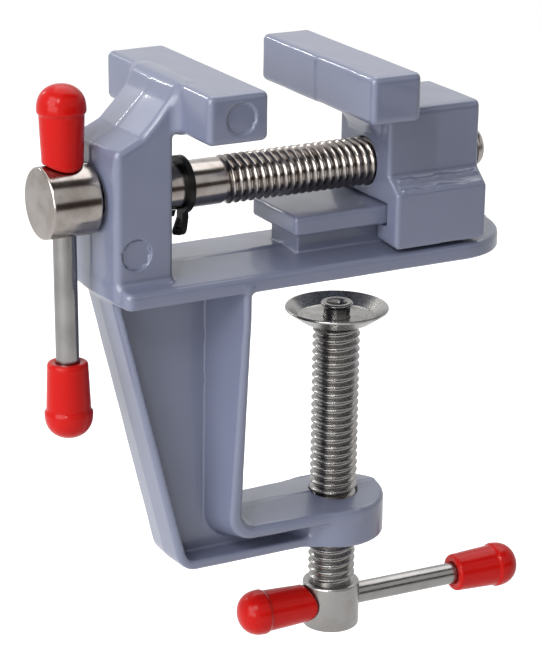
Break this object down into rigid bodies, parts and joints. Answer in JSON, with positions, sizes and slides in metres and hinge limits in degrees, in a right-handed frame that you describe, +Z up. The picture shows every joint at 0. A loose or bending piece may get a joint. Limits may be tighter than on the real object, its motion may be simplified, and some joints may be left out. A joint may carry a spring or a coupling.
{
  "type": "mini bench vise",
  "caption": "Small table-clamp bench vise: cast body with fixed jaw and clamp leg, sliding jaw on a T rail, two cross-bar screws.",
  "frame": {"origin": "underside of the table plate, on the clamp screw's axis", "axes": "+X along the jaw screw from its head to the moving jaw, +Y across the jaws, +Z up from the table"},
  "size_m": [0.1066, 0.042, 0.1182],
  "materials": {
    "cast_paint": "gloss enamel on die casting",
    "nickel": "nickel plated, bright",
    "zinc": "zinc plated, satin",
    "bar_steel": "drawn and polished",
    "black_steel": "phosphated spring steel",
    "red_vinyl": "dip-moulded, glossy"
  },
  "bodies": {
    "body": {"body_casting": "cast_paint"},
    "moving_jaw": {"moving_jaw": "cast_paint"},
    "main_screw": {"main_screw": "nickel", "retaining_ring": "black_steel"},
    "main_bar": {"main_bar": "bar_steel", "main_bar_upper_cap": "red_vinyl", "main_bar_lower_cap": "red_vinyl"},
    "clamp_pad": {"clamp_pad": "zinc"},
    "clamp_screw": {"clamp_screw": "zinc"},
    "clamp_bar": {"clamp_bar": "bar_steel", "clamp_bar_left_cap": "red_vinyl", "clamp_bar_right_cap": "red_vinyl"}
  },
  "joints": [
    {"name": "main_screw_turn", "type": "hinge", "parent": "body", "child": "main_screw", "pos_m": [-0.05851, 0, 0.0188], "axis": [1, 0, 0], "range_deg": [-1975, 4764]},
    {"name": "jaw_slide", "type": "slide", "parent": "body", "child": "moving_jaw", "axis": [1, 0, 0], "range_m": [-0.021, 0.0087]},
    {"name": "main_bar_slide", "type": "slide", "parent": "main_screw", "child": "main_bar", "axis": [0, 0.0297, 0.9996], "range_m": [0, 0.0238]},
    {"name": "pad_lift", "type": "slide", "parent": "body", "child": "clamp_pad", "axis": [0, 0, 1], "range_m": [-0.0347, 0.0087]},
    {"name": "clamp_screw_turn", "type": "hinge", "parent": "clamp_pad", "child": "clamp_screw", "pos_m": [0, 0, -0.06], "axis": [0, 0, 1], "range_deg": [-7871, 1975]},
    {"name": "clamp_bar_slide", "type": "slide", "parent": "clamp_screw", "child": "clamp_bar", "axis": [-0.9995, 0.0314, 0], "range_m": [0, 0.0228]}
  ],
  "couplings": [
    {"joint": "main_screw_turn", "follows": "jaw_slide", "rad_per_m": -3957.9},
    {"joint": "clamp_screw_turn", "follows": "pad_lift", "rad_per_m": 3957.9}
  ]
}
